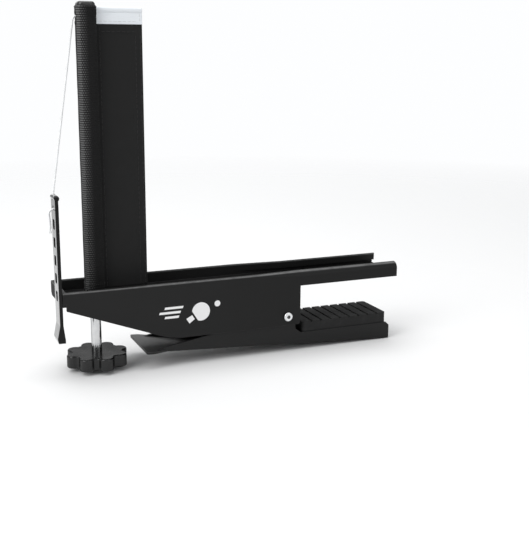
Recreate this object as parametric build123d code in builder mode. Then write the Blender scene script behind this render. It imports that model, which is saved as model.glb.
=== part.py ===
"""Table tennis net clamp: spring-clip bracket, height-adjusted post, net end and cord strap.

Millimetres, +Z up. The origin is where the table's side edge, its top surface and the
net's plane meet. +X runs over the table top, +Y runs away along the table's side edge.
"""
from build123d import *
import os

# ---------------------------------------------------------------- driving dimensions
TABLE_GRIP = 22.1          # height of the table edge between the jaws
HALF_WIDTH = 16.0          # outer faces of the side plates
SHEET = 1.8                # wall of the pressed bracket
LEFT_END = -134.4          # where the side plates end, away from the table
JAW_END = 63.0             # tip of the upper jaw
THROAT = -0.5              # edge of the side plates that faces the table's edge
TOP = 8.8                  # upper edge of the bracket
FLOOR = 1.0                # underside of the floor web
FLOOR_TOP = 2.5
PLATE_FOOT = 0.4           # side plates stop short of the table top
END_FOOT = 0.7             # lower edge of the end plate
ARM_FOOT = -1.0            # lower edge of the side plates at the left end
ARM_SLOPE = 0.375          # fall of the arm's lower edge
ARM_BLEND = 45.0           # radius between the sloping edge and the level edge

BEAD_START = -30.0         # the upper rim thickens from here to the throat
BEAD_WIDTH = 4.2
BEAD_FOOT = 4.6
RIM_RADIUS = 0.9
BEAD_RADIUS = 3.8

PIN_X = -8.3               # clamp pivot
PIN_Z = -17.2
PIN_R = 2.0
PIN_HEAD_R = 2.7
RUNNING = 0.06             # radial clearance of a pin or shaft that turns

LEVER_SHEET = 1.4
LEVER_HALF = 13.9          # outer faces of the lever's flanges
LEVER_TIP = -92.4
LEVER_FOOT = -29.2         # underside of the lever at its tip
LEVER_FALL = 0.06          # fall of the lever's underside towards the jaw
LEVER_END = 60.0
TAB_HALF = 17.4            # half width of the finger tab
TAB_START = -80.0          # the web flares into the tab between these two
TAB_FULL = -88.2
JAW_SEAT = -28.3           # flange edges that carry the lower pad

POST_X = -115.8
POST_WIDE = 9.2            # along X
POST_DEEP = 8.8            # along Y
POST_CORNER = 2.9
POST_WALL = 1.0
POST_FOOT = -2.0
POST_TOP = 151.7
LIFT_DOWN = 1.0            # how far the post can be lowered
LIFT_UP = 3.0

SLEEVE = 0.6               # fabric round the post
SLEEVE_FOOT = 5.6
SLEEVE_TOP = 153.1
NET_TOP = 152.5            # top edge of the net's tape
BAND_END = -86.5
BAND_TOP = 144.0
BAND_THICK = 1.0
TAPE_THICK = 1.8

KNOB_TOP = -29.3
KNOB_THICK = 7.0
KNOB_R = 17.0
LOBES = 8
STEM_R = 2.8
THREAD_R = 2.9             # M6 thread as a plain shank

STRAP_Y = -10.8
STRAP_WIDE = 10.0
STRAP_IN = -136.5          # inner face
STRAP_OUT = -138.3
STRAP_TOP = 59.7
STRAP_FOOT = -18.0
SLOT_LONG = 5.3
SLOT_WIDE = 4.4
SLOT_FIRST = 6.7
SLOT_PITCH = 9.45
SLOT_COUNT = 5
CORD_HOLE_Z = 53.0
CORD_R = 0.5
PEG_R = 1.8                # the strap's lowest slot hangs on this peg
PEG_Z = 6.0
PEG_STUB_R = 1.5           # the peg's stub in the end plate
PLUG_NUT_R = 4.2           # corner radius of the hexagon nut in the guide
SCREW_HEAD_R = 4.6         # corner radius of the hexagon head in the knob
SCREW_HEAD_TOP = 4.5       # above the knob's underside
THREAD_START = -11.5

os.makedirs("parts", exist_ok=True)


def save(builder, name):
    """Label one finished piece and write it under its own name."""
    builder.part.label = name
    export_step(builder.part, f"parts/{name}.step")


def round_corners(sketch, points, radius):
    """Fillet the corners of a sketch that lie nearest to the given sketch points."""
    corners = [sketch.vertices().sort_by_distance((x, y, 0))[0] for x, y in points]
    fillet(corners, radius)


def underside(x):
    """Height of the lever's underside at x."""
    return LEVER_FOOT - LEVER_FALL * (x - LEVER_TIP)


# ---------------------------------------------------------------- bracket
def bead_section(x, width, radius):
    """Section of the upper rim across the bracket, rounded on its outer top corner."""
    with BuildSketch(Plane.YZ.offset(x)) as section:
        with Locations((-HALF_WIDTH + width / 2, (TOP + BEAD_FOOT) / 2)):
            Rectangle(width, TOP - BEAD_FOOT)
        outer_top = section.vertices().group_by(Axis.X)[0].sort_by(Axis.Y)[-1]
        fillet(outer_top, radius)
    return section


level_edge = -TABLE_GRIP - 0.2
bend_x = LEFT_END + (ARM_FOOT - level_edge) / ARM_SLOPE

with BuildPart() as bracket:
    # near side plate, its lower edge sloping down to the level edge beside the throat
    with BuildSketch(Plane.XZ.offset(HALF_WIDTH)) as side:
        with BuildLine():
            Polyline(
                (LEFT_END, BEAD_FOOT),
                (JAW_END, BEAD_FOOT),
                (JAW_END, PLATE_FOOT),
                (THROAT, PLATE_FOOT),
                (THROAT, level_edge),
                (bend_x, level_edge),
                (LEFT_END, ARM_FOOT),
                close=True,
            )
        make_face()
        round_corners(side, [(bend_x, level_edge)], ARM_BLEND)
        round_corners(side, [(THROAT, level_edge)], 1.5)
    extrude(amount=-SHEET)
    # upper rim: thin along the arm, then swelling to a rolled bead over the table
    arm_rim = bead_section(LEFT_END, SHEET, RIM_RADIUS)
    extrude(arm_rim.sketch, amount=BEAD_START - LEFT_END)
    swell_start = bead_section(BEAD_START, SHEET, RIM_RADIUS)
    swell_end = bead_section(THROAT, BEAD_WIDTH, BEAD_RADIUS)
    loft([swell_start.sketch.face(), swell_end.sketch.face()])
    extrude(swell_end.sketch, amount=JAW_END - THROAT)
    # half of the floor web
    with BuildSketch(Plane.XY.offset(FLOOR)):
        with Locations(((LEFT_END + JAW_END) / 2, -HALF_WIDTH / 2 + SHEET / 4)):
            Rectangle(JAW_END - LEFT_END, HALF_WIDTH - SHEET / 2)
    extrude(amount=FLOOR_TOP - FLOOR)
    mirror(about=Plane.XZ)
    # end plate with rounded lower corners
    with BuildSketch(Plane.YZ.offset(LEFT_END)) as end_plate:
        with Locations((0, (TOP + END_FOOT) / 2)):
            Rectangle(2 * HALF_WIDTH, TOP - END_FOOT)
        fillet(end_plate.vertices().group_by(Axis.Y)[0], 2.6)
        fillet(end_plate.vertices().group_by(Axis.Y)[-1], 0.9)
    extrude(amount=-SHEET)
    # pivot holes, guide opening and peg hole
    with BuildSketch(Plane.XZ):
        with Locations((PIN_X, PIN_Z)):
            Circle(PIN_R)
    extrude(amount=HALF_WIDTH + 1, both=True, mode=Mode.SUBTRACT)
    with BuildSketch(Plane.XY.offset(FLOOR)):
        with Locations((POST_X, 0)):
            RectangleRounded(POST_WIDE + 3.2, POST_DEEP + 3.2, POST_CORNER + 1.6)
    extrude(amount=FLOOR_TOP - FLOOR, mode=Mode.SUBTRACT)
    with BuildSketch(Plane.YZ.offset(LEFT_END - SHEET)):
        with Locations((STRAP_Y, PEG_Z)):
            Circle(PEG_STUB_R)
    extrude(amount=SHEET, mode=Mode.SUBTRACT)
save(bracket, "bracket")

# ---------------------------------------------------------------- upper jaw pad
PAD_END = 61.0
with BuildPart() as upper_jaw_pad:
    with BuildSketch(Plane.XY):
        with Locations(((PAD_END - 6.0) / 2, 0)):
            RectangleRounded(PAD_END + 6.0, 2 * (HALF_WIDTH - SHEET) - 0.6, 1.5)
    extrude(amount=FLOOR)
save(upper_jaw_pad, "upper_jaw_pad")

# ---------------------------------------------------------------- clamp lever
FLANGE_START = -88.0       # the flanges rise from the web here
FLANGE_SLOPE = 0.1625      # rise of their upper edge towards the pin
FLANGE_LEVEL = -24.0       # and where that edge ends
EAR_R = 5.6                # round the pin
flange_foot = -29.0 + FLANGE_SLOPE * (FLANGE_START + 90.7)

with BuildPart() as clamp_lever:
    # near flange: narrow at the tip, an ear round the pin, then the pad seat
    with BuildSketch(Plane.XZ.offset(LEVER_HALF)) as flange:
        with BuildLine():
            Polyline(
                (FLANGE_START, underside(FLANGE_START)),
                (FLANGE_START, flange_foot),
                (FLANGE_LEVEL, flange_foot + FLANGE_SLOPE * (FLANGE_LEVEL - FLANGE_START)),
                (PIN_X - EAR_R * 0.9, PIN_Z + EAR_R * 0.4),
                (PIN_X + EAR_R * 0.95, PIN_Z + EAR_R * 0.3),
                (-2.4, -25.6),
                (1.2, JAW_SEAT),
                (LEVER_END - 2, JAW_SEAT),
                (LEVER_END, JAW_SEAT - 2),
                (LEVER_END, underside(LEVER_END)),
                close=True,
            )
        make_face()
        with Locations((PIN_X, PIN_Z)):
            Circle(EAR_R)
            Circle(PIN_R + RUNNING, mode=Mode.SUBTRACT)
    extrude(amount=-LEVER_SHEET)
    mirror(about=Plane.XZ)
    # web between the flanges, flaring into the finger tab
    with BuildSketch(Plane.XZ.offset(TAB_HALF)):
        with BuildLine():
            Polyline(
                (LEVER_TIP, underside(LEVER_TIP)),
                (LEVER_END, underside(LEVER_END)),
                (LEVER_END, underside(LEVER_END) + LEVER_SHEET),
                (LEVER_TIP, underside(LEVER_TIP) + LEVER_SHEET),
                close=True,
            )
        make_face()
    extrude(amount=-2 * TAB_HALF)
    with BuildSketch(Plane.XY.offset(-60)) as plan:
        with BuildLine():
            Polyline(
                (LEVER_TIP, -TAB_HALF),
                (TAB_FULL, -TAB_HALF),
                (TAB_START, -LEVER_HALF),
                (LEVER_END, -LEVER_HALF),
                (LEVER_END, LEVER_HALF),
                (TAB_START, LEVER_HALF),
                (TAB_FULL, TAB_HALF),
                (LEVER_TIP, TAB_HALF),
                close=True,
            )
        make_face()
        round_corners(plan, [(LEVER_TIP, -TAB_HALF), (LEVER_TIP, TAB_HALF)], 1.2)
        round_corners(plan, [(TAB_FULL, -TAB_HALF), (TAB_FULL, TAB_HALF)], 6.0)
    extrude(amount=80, mode=Mode.INTERSECT)
save(clamp_lever, "clamp_lever")

# ---------------------------------------------------------------- lower jaw pad
PAD_START = 2.2
GROOVES = 8
with BuildPart() as lower_jaw_pad:
    with BuildSketch(Plane.XY.offset(JAW_SEAT)):
        with Locations(((PAD_START + LEVER_END - 2.4) / 2, 0)):
            RectangleRounded(LEVER_END - 2.4 - PAD_START, 2 * LEVER_HALF - 1.0, 1.5)
    extrude(amount=-TABLE_GRIP - JAW_SEAT)
    with BuildSketch(Plane.XY.offset(JAW_SEAT)):
        with Locations(((PAD_START + LEVER_END - 2.4) / 2, 0)):
            Rectangle(LEVER_END - 8 - PAD_START, 2 * (LEVER_HALF - LEVER_SHEET) - 0.2)
    extrude(amount=-4.0)
    with BuildSketch(Plane.XY.offset(-TABLE_GRIP)):
        with Locations(((PAD_START + LEVER_END - 2.4) / 2, 0)):
            with GridLocations(6.2, 0, GROOVES, 1):
                Rectangle(1.4, 2 * LEVER_HALF)
    extrude(amount=-0.8, mode=Mode.SUBTRACT)
save(lower_jaw_pad, "lower_jaw_pad")

# ---------------------------------------------------------------- pivot pin and its fixings
WASHER = 0.8
PIN_END = HALF_WIDTH + WASHER + 4.4
with BuildPart() as pivot_pin:
    with BuildSketch(Plane.XZ.offset(HALF_WIDTH)):
        with Locations((PIN_X, PIN_Z)):
            Circle(PIN_R)
    extrude(amount=-HALF_WIDTH - PIN_END)
    with BuildSketch(Plane.XZ.offset(HALF_WIDTH)):
        with Locations((PIN_X, PIN_Z)):
            Circle(PIN_HEAD_R)
    extrude(amount=1.3)
    head_rim = pivot_pin.edges().filter_by(GeomType.CIRCLE).sort_by(Axis.Y)[0]
    fillet(head_rim, 0.8)
    with BuildSketch(Plane.XZ.offset(HALF_WIDTH + 1.3)):
        with Locations((PIN_X, PIN_Z)):
            RegularPolygon(1.15, 6)
    extrude(amount=-0.9, mode=Mode.SUBTRACT)
save(pivot_pin, "pivot_pin")

with BuildPart() as pivot_washer:
    with BuildSketch(Plane.XZ.offset(-HALF_WIDTH)):
        with Locations((PIN_X, PIN_Z)):
            Circle(4.2)
            Circle(PIN_R + 0.05, mode=Mode.SUBTRACT)
    extrude(amount=-WASHER)
save(pivot_washer, "pivot_washer")

with BuildPart() as pivot_nut:
    with BuildSketch(Plane.XZ.offset(-HALF_WIDTH - WASHER)):
        with Locations((PIN_X, PIN_Z)):
            RegularPolygon(4.0, 6)
            Circle(PIN_R, mode=Mode.SUBTRACT)
    extrude(amount=-3.2)
save(pivot_nut, "pivot_nut")

BUSH_R = 3.2
BUSH_HALF = LEVER_HALF - LEVER_SHEET - 0.2
with BuildPart() as pivot_bush:
    with BuildSketch(Plane.XZ.offset(BUSH_HALF)):
        with Locations((PIN_X, PIN_Z)):
            Circle(BUSH_R)
            Circle(PIN_R, mode=Mode.SUBTRACT)
    extrude(amount=-2 * BUSH_HALF)
save(pivot_bush, "pivot_bush")

# ---------------------------------------------------------------- clamp spring
SPRING_X = -38.0
SPRING_R = 7.0             # to the middle of the wire
WIRE_R = 0.9
SPRING_TURNS = 7
spring_low = underside(SPRING_X) + LEVER_SHEET + WIRE_R + 0.6
spring_high = FLOOR - WIRE_R - 0.1
with BuildPart() as clamp_spring:
    with BuildLine(Plane.XY.offset(spring_low)):
        coil = Helix(
            pitch=(spring_high - spring_low) / SPRING_TURNS,
            height=spring_high - spring_low,
            radius=SPRING_R,
            center=(SPRING_X, 0, 0),
        )
    with BuildSketch(Plane(origin=coil @ 0, z_dir=coil % 0)):
        Circle(WIRE_R)
    sweep(path=coil)
save(clamp_spring, "clamp_spring")

# ---------------------------------------------------------------- post guide and thread nut
GUIDE_FOOT = -7.6
GUIDE_TOP = 2.9
GUIDE_FLOOR = -3.2
GUIDE_GAP = 0.08
with BuildPart() as post_guide:
    with BuildSketch(Plane.XY.offset(GUIDE_FOOT)):
        with Locations((POST_X, 0)):
            RectangleRounded(POST_WIDE + 3.2, POST_DEEP + 3.2, POST_CORNER + 1.6)
    extrude(amount=GUIDE_TOP - GUIDE_FOOT)
    with BuildSketch(Plane.XY.offset(GUIDE_FLOOR)):
        with Locations((POST_X, 0)):
            RectangleRounded(POST_WIDE + 2 * GUIDE_GAP, POST_DEEP + 2 * GUIDE_GAP, POST_CORNER)
    extrude(amount=GUIDE_TOP - GUIDE_FLOOR, mode=Mode.SUBTRACT)
    with BuildSketch(Plane.XY.offset(GUIDE_FOOT)):
        with Locations((POST_X, 0)):
            RegularPolygon(PLUG_NUT_R, 6)
    extrude(amount=3.2, mode=Mode.SUBTRACT)
    with BuildSketch(Plane.XY.offset(GUIDE_FOOT)):
        with Locations((POST_X, 0)):
            Circle(THREAD_R + 0.5)
    extrude(amount=8, mode=Mode.SUBTRACT)
save(post_guide, "post_guide")

with BuildPart() as thread_nut:
    with BuildSketch(Plane.XY.offset(GUIDE_FOOT)):
        with Locations((POST_X, 0)):
            RegularPolygon(PLUG_NUT_R, 6)
            Circle(THREAD_R + RUNNING, mode=Mode.SUBTRACT)
    extrude(amount=3.2)
save(thread_nut, "thread_nut")

# ---------------------------------------------------------------- strap peg
PEG_TIP = STRAP_OUT - 0.3
with BuildPart() as strap_peg:
    with BuildSketch(Plane.YZ.offset(LEFT_END - SHEET)):
        with Locations((STRAP_Y, PEG_Z)):
            Circle(PEG_R)
    extrude(amount=PEG_TIP - LEFT_END + SHEET)
    tip_rim = strap_peg.edges().filter_by(GeomType.CIRCLE).sort_by(Axis.X)[0]
    fillet(tip_rim, 0.7)
    with BuildSketch(Plane.YZ.offset(LEFT_END - SHEET)):
        with Locations((STRAP_Y, PEG_Z)):
            Circle(PEG_STUB_R)
    extrude(amount=SHEET + 0.8)
save(strap_peg, "strap_peg")

# ---------------------------------------------------------------- post
CORD_EXIT_Z = 148.0
CORD_SLOT_WIDE = 3.0
CORD_SLOT_GAP = 0.9        # left above and below the cord at the ends of the post's lift
CAP_PLUG = 1.2


def cord_slot():
    """Cut the cord's upright slot through the wall that faces the strap."""
    tall = LIFT_UP + LIFT_DOWN + 2 * (CORD_R + CORD_SLOT_GAP)
    with BuildSketch(Plane.YZ.offset(POST_X)) as slot:
        with Locations((0, CORD_EXIT_Z + (LIFT_DOWN - LIFT_UP) / 2)):
            SlotOverall(tall, CORD_SLOT_WIDE, rotation=90)
    extrude(slot.sketch, amount=-POST_WIDE, mode=Mode.SUBTRACT)


with BuildPart() as post_tube:
    with BuildSketch(Plane.XY.offset(POST_FOOT)):
        with Locations((POST_X, 0)):
            RectangleRounded(POST_WIDE, POST_DEEP, POST_CORNER)
            RectangleRounded(
                POST_WIDE - 2 * POST_WALL,
                POST_DEEP - 2 * POST_WALL,
                POST_CORNER - POST_WALL,
                mode=Mode.SUBTRACT,
            )
    extrude(amount=POST_TOP - POST_FOOT)
    cord_slot()
save(post_tube, "post_tube")

with BuildPart() as post_cap:
    with BuildSketch(Plane.XY.offset(POST_TOP)):
        with Locations((POST_X, 0)):
            RectangleRounded(POST_WIDE, POST_DEEP, POST_CORNER)
    extrude(amount=3.3)
    fillet(post_cap.faces().sort_by(Axis.Z)[-1].edges(), 1.6)
    with BuildSketch(Plane.XY.offset(POST_TOP)):
        with Locations((POST_X, 0)):
            RectangleRounded(
                POST_WIDE - 2 * POST_WALL, POST_DEEP - 2 * POST_WALL, POST_CORNER - POST_WALL
            )
    extrude(amount=-CAP_PLUG)
save(post_cap, "post_cap")

FOOT_PLUG = 8.0
SWIVEL_R = 1.9
with BuildPart() as post_foot:
    with BuildSketch(Plane.XY.offset(POST_FOOT)):
        with Locations((POST_X, 0)):
            RectangleRounded(
                POST_WIDE - 2 * POST_WALL, POST_DEEP - 2 * POST_WALL, POST_CORNER - POST_WALL
            )
            Circle(SWIVEL_R + RUNNING, mode=Mode.SUBTRACT)
    extrude(amount=FOOT_PLUG)
save(post_foot, "post_foot")

# ---------------------------------------------------------------- net end
sleeve_side = POST_X + POST_WIDE / 2 + SLEEVE
with BuildPart() as net_sleeve:
    with BuildSketch(Plane.XY.offset(SLEEVE_FOOT)):
        with Locations((POST_X, 0)):
            RectangleRounded(POST_WIDE + 2 * SLEEVE, POST_DEEP + 2 * SLEEVE, POST_CORNER + SLEEVE)
            RectangleRounded(POST_WIDE, POST_DEEP, POST_CORNER, mode=Mode.SUBTRACT)
    extrude(amount=SLEEVE_TOP - SLEEVE_FOOT)
    cord_slot()
save(net_sleeve, "net_sleeve")

with BuildPart() as net_side_band:
    with BuildSketch(Plane.XZ.offset(BAND_THICK / 2)):
        with Locations(((sleeve_side + BAND_END) / 2, (SLEEVE_FOOT + BAND_TOP) / 2)):
            Rectangle(BAND_END - sleeve_side, BAND_TOP - SLEEVE_FOOT)
    extrude(amount=-BAND_THICK)
save(net_side_band, "net_side_band")

with BuildPart() as net_tape_end:
    with BuildSketch(Plane.XZ.offset(TAPE_THICK / 2)):
        with Locations(((sleeve_side + BAND_END) / 2, (BAND_TOP + NET_TOP) / 2)):
            Rectangle(BAND_END - sleeve_side, NET_TOP - BAND_TOP)
    extrude(amount=-TAPE_THICK)
    fillet(net_tape_end.edges().filter_by(Axis.X), 0.6)
save(net_tape_end, "net_tape_end")

# ---------------------------------------------------------------- height screw and knob
CLIP_Z = POST_FOOT + FOOT_PLUG
with BuildPart() as height_screw:
    with BuildSketch(Plane.XY.offset(KNOB_TOP - KNOB_THICK + 1.0)):
        with Locations((POST_X, 0)):
            RegularPolygon(SCREW_HEAD_R, 6)
    extrude(amount=SCREW_HEAD_TOP - 1.0)
    with BuildSketch(Plane.XY.offset(KNOB_TOP - KNOB_THICK + SCREW_HEAD_TOP)):
        with Locations((POST_X, 0)):
            Circle(STEM_R)
    extrude(amount=THREAD_START - (KNOB_TOP - KNOB_THICK + SCREW_HEAD_TOP))
    with BuildSketch(Plane.XY.offset(THREAD_START)):
        with Locations((POST_X, 0)):
            Circle(THREAD_R)
    extrude(amount=POST_FOOT - 0.2 - THREAD_START)
    with BuildSketch(Plane.XY.offset(POST_FOOT - 0.2)):
        with Locations((POST_X, 0)):
            Circle(SWIVEL_R)
    extrude(amount=FOOT_PLUG + 2.6)
    with BuildSketch(Plane.XY.offset(CLIP_Z + 0.15)):
        with Locations((POST_X, 0)):
            Circle(SWIVEL_R)
            Circle(1.4, mode=Mode.SUBTRACT)
    extrude(amount=0.7, mode=Mode.SUBTRACT)
save(height_screw, "height_screw")

with BuildPart() as screw_clip:
    with BuildSketch(Plane.XY.offset(CLIP_Z + 0.2)):
        with Locations((POST_X, 0)):
            Circle(3.0)
            Circle(1.4, mode=Mode.SUBTRACT)
            with Locations((0, -3.0)):
                Rectangle(2.2, 4.0, mode=Mode.SUBTRACT)
    extrude(amount=0.6)
save(screw_clip, "screw_clip")

LOBE_R = 4.0
with BuildPart() as height_knob:
    with BuildSketch(Plane.XY.offset(KNOB_TOP - KNOB_THICK)) as knob_plan:
        with Locations((POST_X, 0)):
            Circle(KNOB_R - LOBE_R + 0.6)
            with PolarLocations(KNOB_R - LOBE_R, LOBES, start_angle=-90 + 8):
                Circle(LOBE_R)
        fillet(knob_plan.vertices(), 2.2)
    extrude(amount=KNOB_THICK)
    fillet(height_knob.faces().sort_by(Axis.Z)[-1].edges(), 0.9)
    fillet(height_knob.faces().sort_by(Axis.Z)[0].edges(), 0.9)
    with BuildSketch(Plane.XY.offset(KNOB_TOP - KNOB_THICK)):
        with Locations((POST_X, 0)):
            RegularPolygon(SCREW_HEAD_R, 6)
    extrude(amount=SCREW_HEAD_TOP, mode=Mode.SUBTRACT)
    with BuildSketch(Plane.XY.offset(KNOB_TOP)):
        with Locations((POST_X, 0)):
            Circle(STEM_R)
    extrude(amount=-KNOB_THICK, mode=Mode.SUBTRACT)
save(height_knob, "height_knob")

# ---------------------------------------------------------------- tension strap
STRAP_HEAD_R = 1.4
strap_middle = (STRAP_IN + STRAP_OUT) / 2
cord_end_x = strap_middle - 0.6
with BuildPart() as tension_strap:
    with BuildSketch(Plane.YZ.offset(STRAP_IN)):
        with Locations((STRAP_Y, (STRAP_TOP + STRAP_FOOT - STRAP_HEAD_R) / 2)):
            Rectangle(STRAP_WIDE, STRAP_TOP - STRAP_FOOT - STRAP_HEAD_R)
    extrude(amount=STRAP_OUT - STRAP_IN)
    # thick rounded head for the cord
    with BuildSketch(Plane.XZ.offset(-STRAP_Y + STRAP_WIDE / 2)):
        with Locations((strap_middle + 0.1, STRAP_TOP - STRAP_HEAD_R)):
            Circle(STRAP_HEAD_R)
    extrude(amount=-STRAP_WIDE)
    # finger pull: the foot swells outward into a rounded lip
    with BuildSketch(Plane.XZ.offset(-STRAP_Y + STRAP_WIDE / 2)):
        with BuildLine():
            Polyline(
                (STRAP_IN, STRAP_FOOT + 9.5),
                (STRAP_OUT, STRAP_FOOT + 9.5),
                (STRAP_OUT - 1.5, STRAP_FOOT + 2.2),
                (STRAP_OUT - 0.9, STRAP_FOOT),
                (STRAP_IN + 0.9, STRAP_FOOT),
                (STRAP_IN + 0.9, STRAP_FOOT + 2.0),
                close=True,
            )
        make_face()
    extrude(amount=-STRAP_WIDE)
    with BuildSketch(Plane.YZ.offset(STRAP_IN + 2)):
        for step in range(SLOT_COUNT):
            with Locations((STRAP_Y, SLOT_FIRST + step * SLOT_PITCH)):
                RectangleRounded(SLOT_WIDE, SLOT_LONG, 0.8)
        with Locations((STRAP_Y, CORD_HOLE_Z)):
            Circle(1.3)
    extrude(amount=-6, mode=Mode.SUBTRACT)
    with BuildSketch(Plane.XY.offset(STRAP_TOP)):
        with Locations((cord_end_x, STRAP_Y)):
            Circle(0.6)
    extrude(amount=-2.6, mode=Mode.SUBTRACT)
    # round the upper corners of the strip and its head
    with BuildSketch(Plane.YZ.offset(STRAP_IN + 2)) as outline:
        with Locations((STRAP_Y, (STRAP_TOP + STRAP_FOOT) / 2)):
            Rectangle(STRAP_WIDE, STRAP_TOP - STRAP_FOOT)
        fillet(outline.vertices().group_by(Axis.Y)[-1], 2.4)
    extrude(amount=-8, mode=Mode.INTERSECT)
save(tension_strap, "tension_strap")

# ---------------------------------------------------------------- tension cord
# out of the post's slot, over its edge, then straight down to the strap's head
cord_route = [
    (POST_X - 2.6, 0.0, CORD_EXIT_Z),
    (POST_X - POST_WIDE / 2 - SLEEVE - CORD_R - 0.7, 0.0, CORD_EXIT_Z),
    (cord_end_x, STRAP_Y, STRAP_TOP + 0.5),
]
with BuildPart() as tension_cord:
    with BuildLine() as cord_path:
        FilletPolyline(*cord_route, radius=1.4)
    with BuildSketch(Plane(origin=cord_path.line @ 0, z_dir=cord_path.line % 0)):
        Circle(CORD_R)
    sweep(path=cord_path.line)
save(tension_cord, "tension_cord")

TAIL_OUT = STRAP_OUT - CORD_R - 1.2
tail_route = [
    (STRAP_IN + 0.6, STRAP_Y, CORD_HOLE_Z),
    (TAIL_OUT - 0.6, STRAP_Y, CORD_HOLE_Z - 0.6),
    (TAIL_OUT - 0.3, STRAP_Y + 0.5, CORD_HOLE_Z - 5.5),
    (TAIL_OUT + 0.1, STRAP_Y + 0.3, CORD_HOLE_Z - 9.5),
    (TAIL_OUT - 0.2, STRAP_Y + 0.6, CORD_HOLE_Z - 13.5),
]
with BuildPart() as cord_tail:
    with BuildLine() as tail_path:
        FilletPolyline(*tail_route, radius=[1.8, 20.0, 20.0])
    with BuildSketch(Plane(origin=tail_path.line @ 0, z_dir=tail_path.line % 0)):
        Circle(CORD_R)
    sweep(path=tail_path.line)
save(cord_tail, "cord_tail")
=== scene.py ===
"""Looks of the table tennis net clamp: woven net end, braided cord, coated steel, bright screw."""
import bpy
import math
import random
from mathutils import Matrix, Vector


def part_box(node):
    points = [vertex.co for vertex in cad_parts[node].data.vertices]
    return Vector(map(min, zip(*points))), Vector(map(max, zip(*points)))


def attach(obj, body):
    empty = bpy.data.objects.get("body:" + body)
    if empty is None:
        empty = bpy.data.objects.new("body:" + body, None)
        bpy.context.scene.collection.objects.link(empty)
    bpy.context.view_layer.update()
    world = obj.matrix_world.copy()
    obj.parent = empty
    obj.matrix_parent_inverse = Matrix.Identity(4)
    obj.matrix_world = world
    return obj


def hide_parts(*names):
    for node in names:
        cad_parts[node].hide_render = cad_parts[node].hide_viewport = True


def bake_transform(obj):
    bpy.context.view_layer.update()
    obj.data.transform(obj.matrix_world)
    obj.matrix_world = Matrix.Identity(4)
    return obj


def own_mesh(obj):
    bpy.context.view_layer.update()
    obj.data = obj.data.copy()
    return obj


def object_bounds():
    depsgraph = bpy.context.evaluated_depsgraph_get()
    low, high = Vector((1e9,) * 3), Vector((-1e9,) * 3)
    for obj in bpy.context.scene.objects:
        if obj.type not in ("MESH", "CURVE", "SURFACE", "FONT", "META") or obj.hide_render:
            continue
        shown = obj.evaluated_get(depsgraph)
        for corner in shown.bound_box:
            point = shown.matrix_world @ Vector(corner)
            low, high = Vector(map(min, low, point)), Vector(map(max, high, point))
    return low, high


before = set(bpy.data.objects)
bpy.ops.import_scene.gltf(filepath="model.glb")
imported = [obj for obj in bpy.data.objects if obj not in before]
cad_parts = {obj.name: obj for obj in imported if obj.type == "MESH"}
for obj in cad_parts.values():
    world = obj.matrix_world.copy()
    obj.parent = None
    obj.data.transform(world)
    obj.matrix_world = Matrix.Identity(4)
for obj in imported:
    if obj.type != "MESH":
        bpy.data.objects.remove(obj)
CAD_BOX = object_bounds()
MM = 0.001

# ---------------------------------------------------------------- camera
# where the photograph was taken from, found from the table's edges and the net
EYE = Vector((-0.2297, -0.4912, 0.1363))
LOOK = Vector((0.3875, 0.8917, -0.2340)).normalized()
RIGHT = Vector((0.9179, -0.3967, 0.0083))
SENSOR_MM = 36.0
LENS_MM = 63.45

camera_data = bpy.data.cameras.new("camera")
camera = bpy.data.objects.new("camera", camera_data)
bpy.context.scene.collection.objects.link(camera)
bpy.context.scene.camera = camera
camera_data.sensor_width = SENSOR_MM
camera_data.lens = LENS_MM
camera_data.clip_start = 0.01
camera_data.clip_end = 20.0
side = (RIGHT - LOOK * RIGHT.dot(LOOK)).normalized()
up = side.cross(LOOK)
camera.matrix_world = Matrix((
    (side.x, up.x, -LOOK.x, EYE.x),
    (side.y, up.y, -LOOK.y, EYE.y),
    (side.z, up.z, -LOOK.z, EYE.z),
    (0, 0, 0, 1),
))
bpy.context.scene.view_settings.view_transform = "Standard"


# ---------------------------------------------------------------- mesh helpers
def add_mesh(name, verts, faces, uvs=None, smooth=True):
    """A new mesh object in the scene; uvs holds one pair per vertex."""
    mesh = bpy.data.meshes.new(name)
    mesh.from_pydata([tuple(v) for v in verts], [], faces)
    mesh.update()
    if uvs is not None:
        layer = mesh.uv_layers.new(name="uv")
        for loop in mesh.loops:
            layer.data[loop.index].uv = uvs[loop.vertex_index]
    mesh.polygons.foreach_set("use_smooth", [smooth] * len(mesh.polygons))
    obj = bpy.data.objects.new(name, mesh)
    bpy.context.scene.collection.objects.link(obj)
    return obj


def nurbs_line(points, samples):
    """Points along the smooth open spline that has these control points."""
    curve = bpy.data.curves.new("line", "CURVE")
    curve.dimensions = "3D"
    spline = curve.splines.new("NURBS")
    spline.points.add(len(points) - 1)
    for place, point in zip(spline.points, points):
        place.co = (*point, 1.0)
    spline.order_u = 3
    spline.use_endpoint_u = True
    spline.resolution_u = samples
    holder = bpy.data.objects.new("line", curve)
    bpy.context.scene.collection.objects.link(holder)
    mesh = bpy.data.meshes.new_from_object(holder)
    line = [v.co.copy() for v in mesh.vertices]
    bpy.data.objects.remove(holder)
    bpy.data.meshes.remove(mesh)
    return line


def evenly(line, step):
    """The same line with points one step apart."""
    out = [line[0].copy()]
    spare = 0.0
    for a, b in zip(line, line[1:]):
        run = (b - a).length
        place = step - spare
        while place <= run:
            out.append(a.lerp(b, place / run))
            place += step
        spare = run - (place - step)
    out.append(line[-1].copy())
    return out


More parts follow.
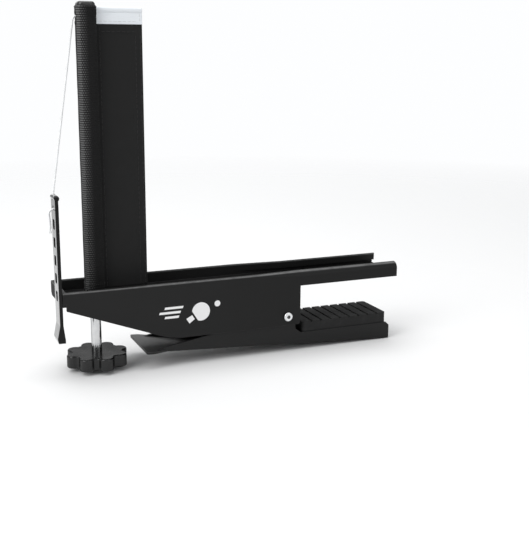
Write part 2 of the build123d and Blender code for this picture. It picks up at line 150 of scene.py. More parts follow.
def tube(line, radius, sides, shape=None):
    """Vertices and faces of a closed tube along a line; shape(i, angle) scales its radius."""
    verts, faces = [], []
    tangent = (line[1] - line[0]).normalized()
    normal = tangent.orthogonal().normalized()
    for i, point in enumerate(line):
        ahead = line[min(i + 1, len(line) - 1)] - line[max(i - 1, 0)]
        if ahead.length > 1e-9:
            tangent = ahead.normalized()
        normal = (normal - tangent * normal.dot(tangent)).normalized()
        across = tangent.cross(normal)
        for k in range(sides):
            angle = 2 * math.pi * k / sides
            size = radius * (shape(i, angle) if shape else 1.0)
            verts.append(point + (normal * math.cos(angle) + across * math.sin(angle)) * size)
    for i in range(len(line) - 1):
        for k in range(sides):
            a, b = i * sides + k, i * sides + (k + 1) % sides
            faces.append((a, b, b + sides, a + sides))
    faces.append(tuple(range(sides))[::-1])
    faces.append(tuple(range(len(verts) - sides, len(verts))))
    return verts, faces


def joined(parts):
    """One list of vertices and one of faces from several."""
    verts, faces = [], []
    for some_verts, some_faces in parts:
        first = len(verts)
        verts += some_verts
        faces += [tuple(i + first for i in face) for face in some_faces]
    return verts, faces


# ---------------------------------------------------------------- tension cord
CORD_R = 0.5 * MM
CORD_SIDES = 12
BRAID_STEP = 0.18 * MM
BRAID_PITCH = 2.2 * MM
BRAID_RELIEF = 0.10
BRAID_STRANDS = 3
cord_route = [
    (-0.1184, 0.0, 0.1480),
    (-0.1222, 0.0, 0.1480),
    (-0.1380, -0.0108, 0.0602),
]


def braid(i, angle):
    """How thick a braided cord is: strands wind both ways round it."""
    along = i * BRAID_STEP / BRAID_PITCH * 2 * math.pi
    around = BRAID_STRANDS * angle
    return 1.0 + BRAID_RELIEF * math.sin(around + along) * math.sin(around - along)


# the long straight run below the post's edge has points near both its ends
cord_points = [
    cord_route[0],
    cord_route[1],
    (-0.12299, -0.00054, 0.1436),
    (-0.13715, -0.01022, 0.0649),
    cord_route[2],
]
cord_line = nurbs_line(cord_points, 40)
cord_fine = evenly(cord_line, BRAID_STEP)
tension_cord = add_mesh("tension_cord_braid", *tube(cord_fine, CORD_R, CORD_SIDES, braid))
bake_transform(tension_cord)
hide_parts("tension_cord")

tail_points = [
    (-0.1359, -0.0108, 0.0530),
    (-0.1406, -0.0108, 0.0524),
    (-0.1403, -0.0103, 0.0475),
    (-0.1399, -0.0105, 0.0435),
    (-0.1402, -0.0102, 0.0395),
]
tail_line = evenly(nurbs_line(tail_points, 40), BRAID_STEP)
# the braid is cut short of the line's end, and the loose yarns start a little above the cut
TAIL_CUT = -14
FRAY_FOOT = -18
cord_tail = add_mesh("cord_tail_braid",
                     *tube(tail_line[:TAIL_CUT], CORD_R, CORD_SIDES, braid))
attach(cord_tail, "strap")
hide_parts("cord_tail")

YARN_R = 0.11 * MM
rng = random.Random(7)


def fray(count, foot, spread):
    """Loose yarns that leave the cord's cut end."""
    yarns = []
    for i in range(count):
        turn = 2 * math.pi * i / count + rng.uniform(-0.4, 0.4)
        lean = Vector((math.cos(turn), math.sin(turn), 0)) * spread * rng.uniform(0.3, 1.0)
        start = tail_line[foot] + lean * 0.12
        middle = start + Vector((0, 0, -rng.uniform(0.8, 1.6) * MM)) + lean * 0.5
        end = middle + Vector((0, 0, -rng.uniform(0.5, 1.8) * MM)) + lean * rng.uniform(0.2, 0.9)
        yarns.append(tube(nurbs_line([start, middle, end], 6), YARN_R, 5))
    return joined(yarns)


cord_fray = add_mesh("cord_fray", *fray(16, FRAY_FOOT, 0.9 * MM))
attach(cord_fray, "strap")

[tuple(p) for p in evenly(cord_line, 1 * MM)]


# ---------------------------------------------------------------- material helpers
class Nodes:
    """Short ways to build one material's node tree. Lengths in it are millimetres."""

    def __init__(self, name):
        self.material = bpy.data.materials.new(name)
        self.material.use_nodes = True
        self.tree = self.material.node_tree
        self.shader = self.tree.nodes["Principled BSDF"]

    def node(self, kind, **settings):
        made = self.tree.nodes.new(kind)
        for key, value in settings.items():
            setattr(made, key, value)
        return made

    def link(self, source, target):
        self.tree.links.new(source, target)

    def put(self, socket, value):
        """Set a socket to a number or colour, or link it to another socket."""
        if isinstance(value, bpy.types.NodeSocket):
            self.link(value, socket)
        else:
            socket.default_value = value

    def place(self, stretch=(1, 1, 1), uv=False):
        """The row frame's coordinates in millimetres, or the piece's own uv times 1000."""
        source = self.node("ShaderNodeTexCoord").outputs["UV" if uv else "Object"]
        scale = self.node("ShaderNodeVectorMath", operation="MULTIPLY")
        self.link(source, scale.inputs[0])
        scale.inputs[1].default_value = [1000 * s for s in stretch]
        return scale.outputs[0]

    def noise(self, size, detail=3.0, where=None):
        """Noise with features about this many millimetres wide, from 0 to 1."""
        made = self.node("ShaderNodeTexNoise")
        self.link(where or self.place(), made.inputs["Vector"])
        made.inputs["Scale"].default_value = 1.0 / size
        made.inputs["Detail"].default_value = detail
        made.inputs["Roughness"].default_value = 0.55
        return made.outputs["Fac"]

    def axes(self, where=None):
        """The x, y and z of the coordinates, in millimetres."""
        made = self.node("ShaderNodeSeparateXYZ")
        self.link(where or self.place(), made.inputs[0])
        return made.outputs

    def math(self, operation, a, b=0.0):
        made = self.node("ShaderNodeMath", operation=operation)
        for socket, value in zip(made.inputs, (a, b)):
            self.put(socket, value)
        return made.outputs[0]

    def spread(self, value, low, high, out_low=0.0, out_high=1.0):
        """value from low..high moved to out_low..out_high, and clamped."""
        made = self.node("ShaderNodeMapRange")
        self.put(made.inputs["Value"], value)
        for key, number in (("From Min", low), ("From Max", high),
                            ("To Min", out_low), ("To Max", out_high)):
            made.inputs[key].default_value = number
        return made.outputs["Result"]

    def mix(self, factor, a, b):
        made = self.node("ShaderNodeMix", data_type="RGBA")
        self.put(made.inputs[0], factor)
        self.put(made.inputs[6], a)
        self.put(made.inputs[7], b)
        return made.outputs[2]

    def soft_edges(self, radius):
        """Normal that rounds every edge by this many millimetres, and how near an edge is."""
        bevel = self.node("ShaderNodeBevel", samples=6)
        bevel.inputs["Radius"].default_value = radius * MM
        plain = self.node("ShaderNodeNewGeometry").outputs["Normal"]
        dot = self.node("ShaderNodeVectorMath", operation="DOT_PRODUCT")
        self.link(bevel.outputs[0], dot.inputs[0])
        self.link(plain, dot.inputs[1])
        return bevel.outputs[0], self.spread(dot.outputs["Value"], 0.995, 0.85)

    def bump(self, height, depth, normal=None):
        """Bump of this many millimetres, on top of another normal."""
        made = self.node("ShaderNodeBump")
        made.inputs["Strength"].default_value = 1.0
        made.inputs["Distance"].default_value = depth * MM
        self.link(height, made.inputs["Height"])
        if normal is not None:
            self.link(normal, made.inputs["Normal"])
        return made.outputs[0]

    def graze(self, low, high, out_low=0.0, out_high=1.0):
        """From out_low on a surface seen square on to out_high on one seen at a low angle."""
        facing = self.node("ShaderNodeLayerWeight").outputs["Facing"]
        return self.spread(facing, low, high, out_low, out_high)

    def finish(self, **inputs):
        for key, value in inputs.items():
            self.put(self.shader.inputs[key.replace("_", " ")], value)
        return self.material


def grey(value, tint=0.0):
    """A grey; a positive tint makes it bluer."""
    return (value * (1 - tint), value, value * (1 + tint), 1.0)


# painted shade, with some handling wear, darkens the coat towards the throat between these two x
# in millimetres
THROAT_SHADE_FROM_TO = (-90, 10)


def powder_coat(name, tone, rough, specular, rim=None, low_gloss=None):
    """Satin powder coat: orange peel, dust, and paler edges from wear plus a painted edge
    highlight.

    rim is the height in millimetres of the top edges, which get a painted highlight, and
    low_gloss is the specular level of a surface seen at a low angle.
    """
    n = Nodes(name)
    normal, edge = n.soft_edges(0.45)
    peel = n.noise(0.9, 2.0)
    grain = n.noise(0.16, 2.0)
    normal = n.bump(peel, 0.018, normal)
    normal = n.bump(grain, 0.006, normal)
    cloud = n.noise(26, 4.0)
    dust = n.spread(n.noise(0.35, 3.0), 0.66, 0.78)
    # paler edges: paint thinned by wear, and a painted edge highlight as well
    wear_and_edge_highlight = n.math("MULTIPLY", edge, n.spread(n.noise(3.0, 4.0), 0.36, 0.66, 0.35, 1.0))
    tone_now = n.mix(cloud, grey(tone * 0.8), grey(tone * 1.25))
    tone_now = n.mix(n.math("MULTIPLY", dust, 0.25), tone_now, grey(tone * 4))
    tone_now = n.mix(n.math("MULTIPLY", wear_and_edge_highlight, 0.6), tone_now, grey(0.085))
    x, _, z = n.axes()
    # painted shade towards the throat, with some handling wear
    darker = n.spread(x, *THROAT_SHADE_FROM_TO, 0.0, 0.5)
    tone_now = n.mix(darker, tone_now, grey(tone * 0.25))
    if rim is not None:
        # painted highlight: a paler band on the rounded top edges and a paler line along them
        high = n.spread(z, rim - 0.9, rim - 0.5)
        flat = n.spread(z, rim - 0.12, rim - 0.02, 1.0, 0.0)
        patchy = n.spread(n.noise(5.0, 3.0), 0.3, 0.6, 0.55, 1.0)
        rounded = n.math("MULTIPLY", n.math("MULTIPLY", high, flat), patchy)
        line = n.math("MULTIPLY", n.math("MULTIPLY", edge, high), patchy)
        tone_now = n.mix(n.math("MULTIPLY", rounded, 0.8), tone_now, grey(0.13))
        tone_now = n.mix(n.math("MULTIPLY", line, 0.7), tone_now, grey(0.17))
    roughness = n.spread(n.math("ADD", cloud, n.math("MULTIPLY", grain, 0.5)), 0.4, 1.1,
                         rough - 0.06, rough + 0.08)
    if low_gloss is not None:
        specular = n.graze(0.55, 0.8, specular, low_gloss)
    return n.finish(Base_Color=tone_now, Roughness=roughness, Normal=normal,
                    Specular_IOR_Level=specular)


def moulded(name, tone, rough, specular, edge=0.35, gloss_ior=None, rub_and_highlight=3.5,
            low_gloss=None):
    """Moulded plastic: fine spark texture, flow marks and a few rubbed edges.

    edge is the radius in millimetres that softens the edges, gloss_ior adds a sheen at low
    angles, rub is how much paler the edges are from wear and painted highlight, and low_gloss
    is the specular level of a surface seen at a low angle.
    """
    n = Nodes(name)
    normal, near = n.soft_edges(edge)
    spark = n.noise(0.22, 2.0)
    flow = n.noise(7.0, 3.0, n.place((1, 1, 0.3)))
    normal = n.bump(spark, 0.008, normal)
    colour = n.mix(flow, grey(tone * 0.85), grey(tone * 1.2))
    # paler edges: some wear, and a painted edge highlight as well
    wear_and_highlight_edges = n.math("MULTIPLY", near, n.spread(n.noise(2.4, 4.0), 0.45, 0.7))
    colour = n.mix(n.math("MULTIPLY", wear_and_highlight_edges, 0.5), colour, grey(tone * rub_and_highlight))
    roughness = n.spread(flow, 0.3, 0.7, rough - 0.04, rough + 0.06)
    if gloss_ior is not None:
        n.link(n.graze(0.35, 0.75), n.shader.inputs["Coat Weight"])
        n.shader.inputs["Coat Roughness"].default_value = 0.08
        n.shader.inputs["Coat IOR"].default_value = gloss_ior
    if low_gloss is not None:
        specular = n.graze(0.4, 0.7, specular, low_gloss)
    return n.finish(Base_Color=colour, Roughness=roughness, Normal=normal,
                    Specular_IOR_Level=specular)


def bright_metal(name, tone, rough, turned, dull=0.0, dark_reflection_edge=0.0, uneven=0.12,
                 recess=None):
    """Plated steel: turning or drawing lines, faint stains and a painted dark reflection at its
    outline.

    turned is the depth of the lines, dull how dark the stains are, dark_reflection_edge how dark
    the painted reflection at low angles is and uneven how much rougher the stains are. recess is
    how far from the net's plane, in millimetres, a recess and its painted shade end.
    """
    n = Nodes(name)
    normal, _ = n.soft_edges(0.2)
    lines = n.noise(0.25, 2.0, n.place((0.05, 0.05, 1.0)))
    stain = n.noise(5.0, 5.0)
    normal = n.bump(lines, turned, normal)
    colour = n.mix(n.spread(stain, 0.35, 0.75), grey(tone), grey(tone * (1 - dull) * 0.86, 0.02))
    # painted reflection: the plating is painted dark where it is seen at a low angle
    colour = n.mix(n.math("MULTIPLY", n.graze(0.35, 0.8), dark_reflection_edge), colour, grey(0.04))
    if recess is not None:
        # painted shade: dark inside the recess, up to the recess distance from the net's plane
        _, y, _ = n.axes()
        recess_shade = n.spread(n.math("ABSOLUTE", y), recess - 0.5, recess, 0.9, 0.0)
        colour = n.mix(recess_shade, colour, grey(0.04))
    roughness = n.spread(stain, 0.3, 0.75, rough, rough + uneven)
    return n.finish(Base_Color=colour, Roughness=roughness, Normal=normal, Metallic=1.0)


def rubber(name, tone):
    """Matt rubber with a pebbled skin and pale dust."""
    n = Nodes(name)
    normal, near = n.soft_edges(0.5)
    pebble = n.noise(0.45, 3.0)
    dust = n.spread(n.noise(5.0, 5.0), 0.5, 0.75)
    normal = n.bump(pebble, 0.03, normal)
    colour = n.mix(n.math("MULTIPLY", dust, 0.4), grey(tone), grey(tone * 2.6))
    colour = n.mix(n.math("MULTIPLY", near, 0.35), colour, grey(tone * 3))
    return n.finish(Base_Color=colour, Roughness=n.spread(pebble, 0.3, 0.7, 0.72, 0.88),
                    Normal=normal, Specular_IOR_Level=0.3)


def weave(name, dark, light, pitch_u, pitch_v, depth, sheen, contrast=1.0, fade=None):
    """Woven cloth on a uv in millimetres: rows of short floats, each set half a step over.

    fade is None or two distances from the uv's middle line, in millimetres. Up to the first
    one the floats run together into ribs, and beyond it they fade until the second one.
    """
    n = Nodes(name)
    across, along, _ = n.axes(n.place((MM, MM, MM), uv=True))
    wander = n.math("MULTIPLY", n.math("SUBTRACT", n.noise(3.0, 2.0), 0.5), 0.18)
    u = n.math("ADD", n.math("DIVIDE", across, pitch_u), wander)
    v = n.math("ADD", n.math("DIVIDE", along, pitch_v), wander)
    row = n.math("FLOOR", v)
    shifted = n.math("ADD", u, n.math("MULTIPLY", row, 0.5))

    def hump(value):
        """0 at the ends of each step and 1 in its middle."""
        part = n.math("FRACT", value)
        return n.math("SINE", n.math("MULTIPLY", part, math.pi))

    yarn = n.math("MULTIPLY", hump(shifted), hump(v))
    fibre = n.noise(0.12, 2.0)
    height = n.math("ADD", yarn, n.math("MULTIPLY", fibre, 0.35))
    crest = n.math("MULTIPLY", n.spread(yarn, 0.45, 0.95), contrast)
    if fade is not None:
        distance = n.math("ABSOLUTE", across)
        ribs_end, floats_end = fade
        ribs = n.math("MULTIPLY", n.spread(hump(v), 0.35, 0.9),
                      n.spread(distance, 0.8, 1.3, 0.0, 0.7))
        floats = n.math("MULTIPLY", crest, n.spread(distance, ribs_end, floats_end, 1.0, 0.0))
        stretched = n.spread(distance, ribs_end - 0.3, ribs_end + 0.1, 1.0, 0.0)
        crest = n.math("ADD", n.math("MULTIPLY", ribs, stretched),
                       n.math("MULTIPLY", floats, n.math("SUBTRACT", 1.0, stretched)))
    lint = n.spread(n.noise(0.5, 4.0), 0.70, 0.82)
    patch = n.noise(18, 3.0)
    ground = n.mix(patch, dark, tuple(c * 1.35 for c in dark[:3]) + (1.0,))
    colour = n.mix(crest, ground, light)
    colour = n.mix(n.math("MULTIPLY", lint, 0.12), colour, grey(0.25))
    n.shader.inputs["Sheen Weight"].default_value = sheen
    n.shader.inputs["Sheen Roughness"].default_value = 0.45
    return n.finish(Base_Color=colour, Roughness=0.85, Normal=n.bump(height, depth),
                    Specular_IOR_Level=0.2)


def yarn_material(name, tone):
    """Twisted yarn: fine fibre lines and soft soiling."""
    n = Nodes(name)
    fibre = n.noise(0.14, 3.0)
    soil = n.noise(6.0, 4.0)
    colour = n.mix(n.spread(soil, 0.4, 0.8), grey(tone, 0.01), grey(tone * 0.8))
    colour = n.mix(n.math("MULTIPLY", fibre, 0.3), colour, grey(tone * 0.6))
    n.shader.inputs["Sheen Weight"].default_value = 0.2
    return n.finish(Base_Color=colour, Roughness=0.8, Normal=n.bump(fibre, 0.05),
                    Specular_IOR_Level=0.25)


black_coat = powder_coat("black_powder_coat", tone=0.010, rough=0.42, specular=0.20,
                         rim=8.8, low_gloss=0.02)
lever_coat = powder_coat("lever_powder_coat", tone=0.011, rough=0.36, specular=0.24)
peg_coat = powder_coat("peg_powder_coat", tone=0.016, rough=0.40, specular=0.40)
screw_plate = bright_metal("bright_screw_plate", tone=0.66, rough=0.14, turned=0.010,
                           dark_reflection_edge=0.9, uneven=0.05)
pin_plate = bright_metal("bright_pin_plate", tone=0.82, rough=0.18, turned=0.006,
                         dark_reflection_edge=0.7, recess=17.0)
zinc = bright_metal("zinc_plate", tone=0.55, rough=0.30, turned=0.01, dull=0.2)
spring_steel = bright_metal("spring_steel", tone=0.42, rough=0.30, turned=0.01, dull=0.3)
tube_metal = bright_metal("post_tube_metal", tone=0.60, rough=0.32, turned=0.01, dull=0.1)
# the knob's much paler edges are mostly a painted highlight
knob_plastic = moulded("knob_plastic", tone=0.006, rough=0.24, specular=0.45, edge=0.5,
                       rub_and_highlight=14, low_gloss=0.02)
cap_plastic = moulded("cap_plastic", tone=0.020, rough=0.26, specular=0.5)
guide_plastic = moulded("guide_plastic", tone=0.018, rough=0.45, specular=0.4)
strap_plastic = moulded("strap_plastic", tone=0.008, rough=0.24, specular=0.15, edge=0.3,
                        gloss_ior=1.8)
pad_rubber = rubber("pad_rubber", tone=0.012)
seat_rubber = rubber("seat_rubber", tone=0.014)
sleeve_cloth = weave("sleeve_weave", dark=grey(0.006), light=grey(0.18), pitch_u=0.85,
                     pitch_v=1.15, depth=0.22, sheen=0.02, fade=(4.7, 8.6))
band_cloth = weave("band_weave", dark=grey(0.011), light=grey(0.018), pitch_u=0.55,
                   pitch_v=0.55, depth=0.08, sheen=0.05, contrast=0.8)
tape_cloth = weave("tape_weave", dark=grey(0.71, 0.04), light=grey(0.80, 0.04), pitch_u=0.5,
                   pitch_v=0.9, depth=0.06, sheen=0.1)
thread_black = yarn_material("black_thread", tone=0.013)
thread_white = yarn_material("white_thread", tone=0.72)
cord_yarn = yarn_material("cord_yarn", tone=0.88)

NODE_MATERIALS = {
    "bracket": black_coat,
    "clamp_lever": lever_coat,
    "strap_peg": peg_coat,
    "upper_jaw_pad": seat_rubber,
    "lower_jaw_pad": pad_rubber,
    "pivot_pin": pin_plate,
    "pivot_washer": zinc,
    "pivot_nut": zinc,
    "pivot_bush": zinc,
    "thread_nut": zinc,
    "screw_clip": spring_steel,
    "height_screw": screw_plate,
    "post_tube": tube_metal,
    "post_cap": cap_plastic,
    "post_foot": guide_plastic,
    "post_guide": guide_plastic,
    "height_knob": knob_plastic,
    "tension_strap": strap_plastic,
}
for node, finish in NODE_MATERIALS.items():
    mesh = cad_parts[node].data
    for index in range(len(mesh.materials)):
        mesh.materials[index] = finish
for piece in (tension_cord, cord_tail, cord_fray):
    piece.data.materials.append(cord_yarn)


# ---------------------------------------------------------------- sewing
THREAD_R = 0.14 * MM


def stitches(points, outward, length, gap, radius, rise):
    """Thread stitches along a row of points: each one dives in at both its ends."""
    row = evenly([Vector(p) for p in points], length + gap)
    made = []
    for a, b in zip(row, row[1:]):
        along = b - a
        if along.length < length:
            continue
        along.normalize()
        start, end = a + along * gap / 2, a + along * (gap / 2 + length)
        arch = [start - outward * radius, start.lerp(end, 0.2) + outward * rise,
                start.lerp(end, 0.8) + outward * rise, end - outward * radius]
        made.append(tube(nurbs_line(arch, 4), radius, 6))
    return joined(made)


# ---------------------------------------------------------------- net sleeve
sleeve_low, sleeve_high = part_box("net_sleeve")
SLEEVE_X = (sleeve_low.x + sleeve_high.x) / 2
SLEEVE_HALF_X = (sleeve_high.x - sleeve_low.x) / 2
SLEEVE_HALF_Y = (sleeve_high.y - sleeve_low.y) / 2
SLEEVE_CORNER = 3.4 * MM
SLOT_Z = 0.1470
SLOT_HALF_TALL = 3.3 * MM
SLOT_HALF_WIDE = 1.3 * MM
SLEEVE_COLUMNS = 96
SLEEVE_ROWS = 250
SLEEVE_HEM = 4.2 * MM
HEM_LAYER = 0.12 * MM
CLOTH_THICK = 0.45 * MM


def sleeve_outline(count, shrink):
    """Points round the rounded square section with their distance round it; 0 is at -X."""
    hx, hy = SLEEVE_HALF_X - shrink, SLEEVE_HALF_Y - shrink
    r = SLEEVE_CORNER - shrink
    corners = [(-hx + r, -hy + r, 180), (hx - r, -hy + r, 270), (hx - r, hy - r, 0),
               (-hx + r, hy - r, 90)]
    line = [Vector((-hx, 0, 0))]
    for cx, cy, first in corners:
        for k in range(9):
            angle = math.radians(first + 90 * k / 8)
            line.append(Vector((cx + r * math.cos(angle), cy + r * math.sin(angle), 0)))
    line.append(Vector((-hx, 0, 0)))
    whole = sum((b - a).length for a, b in zip(line, line[1:]))
    points = evenly(line, whole / count)[:count]
    return points, whole


def make_sleeve():
    """The woven sleeve: hemmed at both ends, open round the cord's slot."""
    count, rows = SLEEVE_COLUMNS, SLEEVE_ROWS
    verts, uvs, faces = [], [], []
    tall = sleeve_high.z - sleeve_low.z
    for j in range(rows + 1):
        z = sleeve_low.z + tall * j / rows
        from_end = min(z - sleeve_low.z, sleeve_high.z - z)
        hem = 0.0 if from_end < SLEEVE_HEM else HEM_LAYER
        tuck = max(0.0, 0.5 * MM - from_end) * 0.9
        points, whole = sleeve_outline(count, hem + tuck)
        for k, p in enumerate(points):
            around = whole * k / count
            around = around if around <= whole / 2 else around - whole
            ripple = 0.05 * MM * math.sin(z * 210 + around * 900) * math.sin(z * 93 + 1.3)
            out = Vector((p.x, p.y, 0)).normalized() * ripple
            verts.append(Vector((SLEEVE_X + p.x + out.x, p.y + out.y, z)))
            uvs.append((around / MM, z / MM))
    for j in range(rows):
        for k in range(count):
            a, b = j * count + k, j * count + (k + 1) % count
            middle = (verts[a] + verts[b + count]) / 2
            in_slot = (middle.x < SLEEVE_X and abs(middle.y) < SLOT_HALF_WIDE
                       and abs(middle.z - SLOT_Z) < SLOT_HALF_TALL)
            if not in_slot:
                faces.append((a, b, b + count, a + count))
    cloth = add_mesh("net_sleeve_cloth", verts, faces, uvs)
    wall = cloth.modifiers.new("wall", "SOLIDIFY")
    wall.thickness = CLOTH_THICK
    wall.offset = -1.0
    return cloth


sleeve = make_sleeve()
sleeve.data.materials.append(sleeve_cloth)
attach(sleeve, "post")
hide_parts("net_sleeve")


LOOP_HALF_WIDE = 1.45 * MM
LOOP_HALF_TALL = 3.5 * MM
LOOP_STRAIGHT = 2.1 * MM


def slot_line(x):
    """A closed upright loop with round ends, round the cord's slot."""
    line = []
    for k in range(33):
        angle = 2 * math.pi * k / 32
        z = (LOOP_HALF_WIDE * math.sin(angle)
             + math.copysign(LOOP_HALF_TALL - LOOP_HALF_WIDE, math.sin(angle)))
        line.append(Vector((x, LOOP_HALF_WIDE * math.cos(angle), SLOT_Z + z)))
    return line


def make_buttonhole():
    """Buttonhole stitching: close loops of thread round the slot's edge."""
    loop = evenly(slot_line(sleeve_low.x + 0.06 * MM), 0.36 * MM)
    parts = [tube(loop, THREAD_R, 6)]
    for p in loop:
        level = max(SLOT_Z - LOOP_STRAIGHT, min(SLOT_Z + LOOP_STRAIGHT, p.z))
        away = (p - Vector((p.x, 0, level))).normalized()
        lift = Vector((-0.14 * MM, 0, 0))
        arch = [p - away * 0.35 * MM, p - away * 0.25 * MM + lift,
                p + away * 0.35 * MM + lift, p + away * 0.55 * MM - lift]
        parts.append(tube(nurbs_line(arch, 4), YARN_R, 5))
    return add_mesh("sleeve_buttonhole", *joined(parts))


buttonhole = make_buttonhole()
buttonhole.data.materials.append(thread_black)
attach(buttonhole, "post")


def hem_ring(z):
    """One row of stitches round the sleeve."""
    count = 120
    points, _ = sleeve_outline(count, -0.02 * MM)
    parts = []
    for k in range(0, count, 4):
        a, b, c = points[k], points[(k + 1) % count], points[(k + 2) % count]
        out = Vector((b.x, b.y, 0)).normalized()
        arch = [a - out * 0.2 * MM, a.lerp(c, 0.2) + out * 0.12 * MM,
                a.lerp(c, 0.8) + out * 0.12 * MM, c - out * 0.2 * MM]
        arch = [Vector((SLEEVE_X + p.x, p.y, z)) for p in arch]
        parts.append(tube(nurbs_line(arch, 4), THREAD_R, 5))
    return joined(parts)


hem_rows = add_mesh("sleeve_hem_stitches", *joined(
    [hem_ring(sleeve_low.z + 3.6 * MM), hem_ring(sleeve_high.z - 0.8 * MM)]))
hem_rows.data.materials.append(thread_black)
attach(hem_rows, "post")


# ---------------------------------------------------------------- side band and tape
band_low, band_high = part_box("net_side_band")
tape_low, tape_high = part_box("net_tape_end")
HEM = 4.6 * MM


def ribbon(name, low, high, half_thick, step):
    """A closed flat cloth in the XZ plane; half_thick(x, z) gives its half thickness."""
    nx = max(2, round((high.x - low.x) / step))
    nz = max(2, round((high.z - low.z) / step))
    verts, uvs, faces = [], [], []
    for sign in (-1, 1):
        for j in range(nz + 1):
            for i in range(nx + 1):
                x = low.x + (high.x - low.x) * i / nx
                z = low.z + (high.z - low.z) * j / nz
                verts.append(Vector((x, sign * half_thick(x, z), z)))
                uvs.append((x / MM, z / MM))
    layer = (nx + 1) * (nz + 1)
    for j in range(nz):
        for i in range(nx):
            a = j * (nx + 1) + i
            b, c, d = a + 1, a + nx + 2, a + nx + 1
            faces.append((a, b, c, d))
            faces.append((a + layer, d + layer, c + layer, b + layer))
    border = [j * (nx + 1) for j in range(nz, 0, -1)] + list(range(nx))
    border += [j * (nx + 1) + nx for j in range(nz)]
    border += [nz * (nx + 1) + i for i in range(nx, 0, -1)]
    for a, b in zip(border, border[1:] + border[:1]):
        faces.append((a, a + layer, b + layer, b))
    return add_mesh(name, verts, faces, uvs)


def band_thickness(x, z):
    """Two layers in the hems along the top and the free edge, one between them."""
    inside = min(band_high.x - x, band_high.z - z)
    edge = min(inside, z - band_low.z)
    hem = 1.0 if inside < HEM else max(0.0, 1 - (inside - HEM) / (0.5 * MM))
    round_off = min(1.0, 0.35 + edge / (0.5 * MM))
    swell = 0.03 * math.sin(z * 160) * math.sin(x * 420)
    return (0.36 + 0.13 * hem + swell * (1 - hem)) * MM * round_off


band = ribbon("net_side_band_cloth", band_low, band_high, band_thickness, 0.6 * MM)
band.data.materials.append(band_cloth)
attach(band, "post")
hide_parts("net_side_band")


def band_stitches():
    """Stitches on both faces: a row by the sleeve, one in each hem, one by the free edge."""
    parts = []
    for sign in (-1, 1):
        out = Vector((0, sign, 0))
        y_hem, y_flat = sign * 0.49 * MM, sign * 0.37 * MM
        right, top = band_high.x - HEM + 0.9 * MM, band_high.z - HEM + 0.9 * MM
        near_edge = band_high.x - 1.1 * MM
        near_sleeve = SLEEVE_X + SLEEVE_HALF_X + 1.6 * MM
        rows = [
            ([(right, y_hem, band_low.z + 1 * MM), (right, y_hem, top)], 2.0),
            ([(near_edge, y_hem, band_low.z + 1 * MM),
              (near_edge, y_hem, band_high.z - 1 * MM)], 2.0),
            ([(band_low.x + 2 * MM, y_hem, top), (right, y_hem, top)], 2.0),
            ([(near_sleeve, y_flat, band_low.z + 1 * MM),
              (near_sleeve, y_flat, band_high.z - 1 * MM)], 2.4),
        ]
        for line, length in rows:
            parts.append(stitches(line, out, length * MM, 0.7 * MM, 0.13 * MM, 0.16 * MM))
    return joined(parts)


band_thread = add_mesh("band_stitches", *band_stitches())
band_thread.data.materials.append(thread_black)
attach(band_thread, "post")


def tape_thickness(x, z):
    """Folded over a cord at its top, flat and stitched below it."""
    down = tape_high.z - z
    fold = 1.5 * MM
    if down < 2 * fold:
        away = (down - fold) / fold
        return max(0.25, math.sqrt(max(0.0, 1 - away * away))) * 0.88 * MM
    settle = min(1.0, (down - 2 * fold) / (1.2 * MM))
    return (0.55 + 0.10 * settle) * MM


tape = ribbon("net_tape_cloth", tape_low, tape_high, tape_thickness, 0.28 * MM)
tape.data.materials.append(tape_cloth)
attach(tape, "post")
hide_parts("net_tape_end")


def tape_stitches():
    """One row near the lower edge and one up the cut end, on both faces."""
    parts = []
    for sign in (-1, 1):
        out = Vector((0, sign, 0))
        y = sign * 0.66 * MM
        z, x = tape_low.z + 1.4 * MM, tape_high.x - 1.4 * MM
        parts.append(stitches([(tape_low.x + 1 * MM, y, z), (x, y, z)], out,
                              1.9 * MM, 0.6 * MM, 0.12 * MM, 0.1 * MM))
        parts.append(stitches([(x, y, z), (x, y, tape_high.z - 3 * MM)], out,
                              1.5 * MM, 0.5 * MM, 0.12 * MM, 0.1 * MM))
    return joined(parts)


tape_thread = add_mesh("tape_stitches", *tape_stitches())
tape_thread.data.materials.append(thread_white)
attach(tape_thread, "post")


# ---------------------------------------------------------------- clamp spring
def copied_mesh(node, name):
    """A new piece with the same shape as a CAD node."""
    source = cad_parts[node].data
    return add_mesh(name, [v.co for v in source.vertices],
                    [tuple(p.vertices) for p in source.polygons])


spring = copied_mesh("clamp_spring", "clamp_spring_coil")
spring.data.materials.append(spring_steel)
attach(spring, "bracket_body")
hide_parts("clamp_spring")
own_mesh(spring)


# ---------------------------------------------------------------- generic mark
MARK_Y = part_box("bracket")[0].y - 0.03 * MM
MARK_X, MARK_Z = -0.0610, -0.0085


def flat_patch(outline):
    """A thin print from an outline of (x, z) pairs in millimetres about the mark's centre."""
    verts = [Vector((MARK_X + x * MM, MARK_Y, MARK_Z + z * MM)) for x, z in outline]
    return verts, [tuple(range(len(verts)))]


def disc(cx, cz, radius, first=0, last=360, count=40):
    """Part of a circle's outline."""
    return [(cx + radius * math.cos(math.radians(first + (last - first) * k / count)),
             cz + radius * math.sin(math.radians(first + (last - first) * k / count)))
            for k in range(count + 1)]


def turned(outline, angle, cx, cz):
    """An outline turned about a point."""
    c, s = math.cos(math.radians(angle)), math.sin(math.radians(angle))
    return [(cx + (x - cx) * c - (z - cz) * s, cz + (x - cx) * s + (z - cz) * c)
            for x, z in outline]


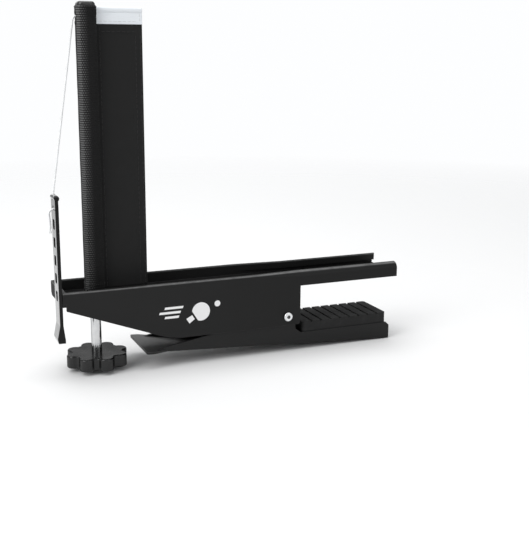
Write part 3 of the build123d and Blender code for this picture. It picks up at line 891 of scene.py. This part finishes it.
def make_mark():
    """A plain bat and ball with three bars behind it."""
    blade = disc(0, 0, 5.2, -52, 232)
    handle = [(-1.4, -5.2), (1.4, -5.2), (1.7, -9.0), (-1.7, -9.0)]
    parts = [turned(blade, -58, 0, 0), turned(handle, -58, 0, 0), disc(9.6, 3.6, 1.7)]
    for k, (start, end) in enumerate(((-21, -10.5), (-24, -12), (-21, -13))):
        z = 3.0 - 2.6 * k
        parts.append([(start, z), (end, z), (end + 0.5, z + 1.3), (start + 0.5, z + 1.3)])
    return joined([flat_patch(p) for p in parts])


mark = add_mesh("plain_mark", *make_mark(), smooth=False)


def print_ink():
    """Screen-printed white with pinholes and a slightly uneven film."""
    n = Nodes("white_print")
    film = n.noise(1.2, 4.0)
    holes = n.spread(n.noise(0.3, 3.0), 0.68, 0.76)
    colour = n.mix(n.math("MULTIPLY", holes, 0.5), grey(0.80), grey(0.35))
    return n.finish(Base_Color=colour, Roughness=n.spread(film, 0.3, 0.7, 0.38, 0.52),
                    Normal=n.bump(film, 0.01))


mark.data.materials.append(print_ink())
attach(mark, "bracket_body")


# ---------------------------------------------------------------- floor and light
def floor_material():
    """Pale floor that fades into the pale surroundings."""
    n = Nodes("floor")
    out = n.tree.nodes["Material Output"]
    clear = n.node("ShaderNodeBsdfTransparent")
    mixed = n.node("ShaderNodeMixShader")
    length = n.node("ShaderNodeVectorMath", operation="LENGTH")
    n.link(n.node("ShaderNodeTexCoord").outputs["Object"], length.inputs[0])
    n.link(n.spread(length.outputs["Value"], 0.25, 0.95), mixed.inputs[0])
    n.link(n.shader.outputs[0], mixed.inputs[1])
    n.link(clear.outputs[0], mixed.inputs[2])
    n.link(mixed.outputs[0], out.inputs["Surface"])
    return n.finish(Base_Color=grey(0.72), Roughness=0.9, Specular_IOR_Level=0.1)


FLOOR_Z = CAD_BOX[0].z - 0.2 * MM
FLOOR_HALF = 1.6
floor = add_mesh("floor", [(x * FLOOR_HALF, y * FLOOR_HALF, FLOOR_Z)
                           for x, y in ((-1, -1), (1, -1), (1, 1), (-1, 1))],
                 [(0, 1, 2, 3)])
floor.data.materials.append(floor_material())


LIT_POINT = Vector((-0.04, 0.0, 0.04))


def softbox(name, place, size, power):
    """A flat area light of these metres and watts, aimed at the clamp's middle."""
    data = bpy.data.lights.new(name, "AREA")
    data.shape = "RECTANGLE"
    data.size, data.size_y = size
    data.energy = power
    light = bpy.data.objects.new(name, data)
    bpy.context.scene.collection.objects.link(light)
    light.location = place
    aim = LIT_POINT - Vector(place)
    light.rotation_mode = "QUATERNION"
    light.rotation_quaternion = aim.to_track_quat("-Z", "Y")
    light.visible_camera = False


softbox("overhead", (-0.1, 0.15, 1.1), size=(1.3, 1.1), power=12)
softbox("key_left", (-0.95, -0.35, 0.65), size=(0.6, 0.8), power=7)
softbox("fill_front", (0.5, -1.0, 0.5), size=(0.7, 0.7), power=1.8)
softbox("low_back", (0.1, 0.95, 0.42), size=(0.9, 0.35), power=1.2)


def studio_world():
    """Soft light from all round, with a paler backdrop where the camera sees past the floor."""
    world = bpy.data.worlds.new("studio")
    world.use_nodes = True
    tree = world.node_tree
    ambient = tree.nodes["Background"]
    ambient.inputs["Color"].default_value = (0.97, 0.985, 1.0, 1)
    ambient.inputs["Strength"].default_value = 0.5
    backdrop = tree.nodes.new("ShaderNodeBackground")
    backdrop.inputs["Color"].default_value = (0.985, 0.992, 1.0, 1)
    backdrop.inputs["Strength"].default_value = 1.0
    path = tree.nodes.new("ShaderNodeLightPath")
    both = tree.nodes.new("ShaderNodeMixShader")
    tree.links.new(path.outputs["Is Camera Ray"], both.inputs[0])
    tree.links.new(ambient.outputs[0], both.inputs[1])
    tree.links.new(backdrop.outputs[0], both.inputs[2])
    tree.links.new(both.outputs[0], tree.nodes["World Output"].inputs["Surface"])
    return world


bpy.context.scene.world = studio_world()
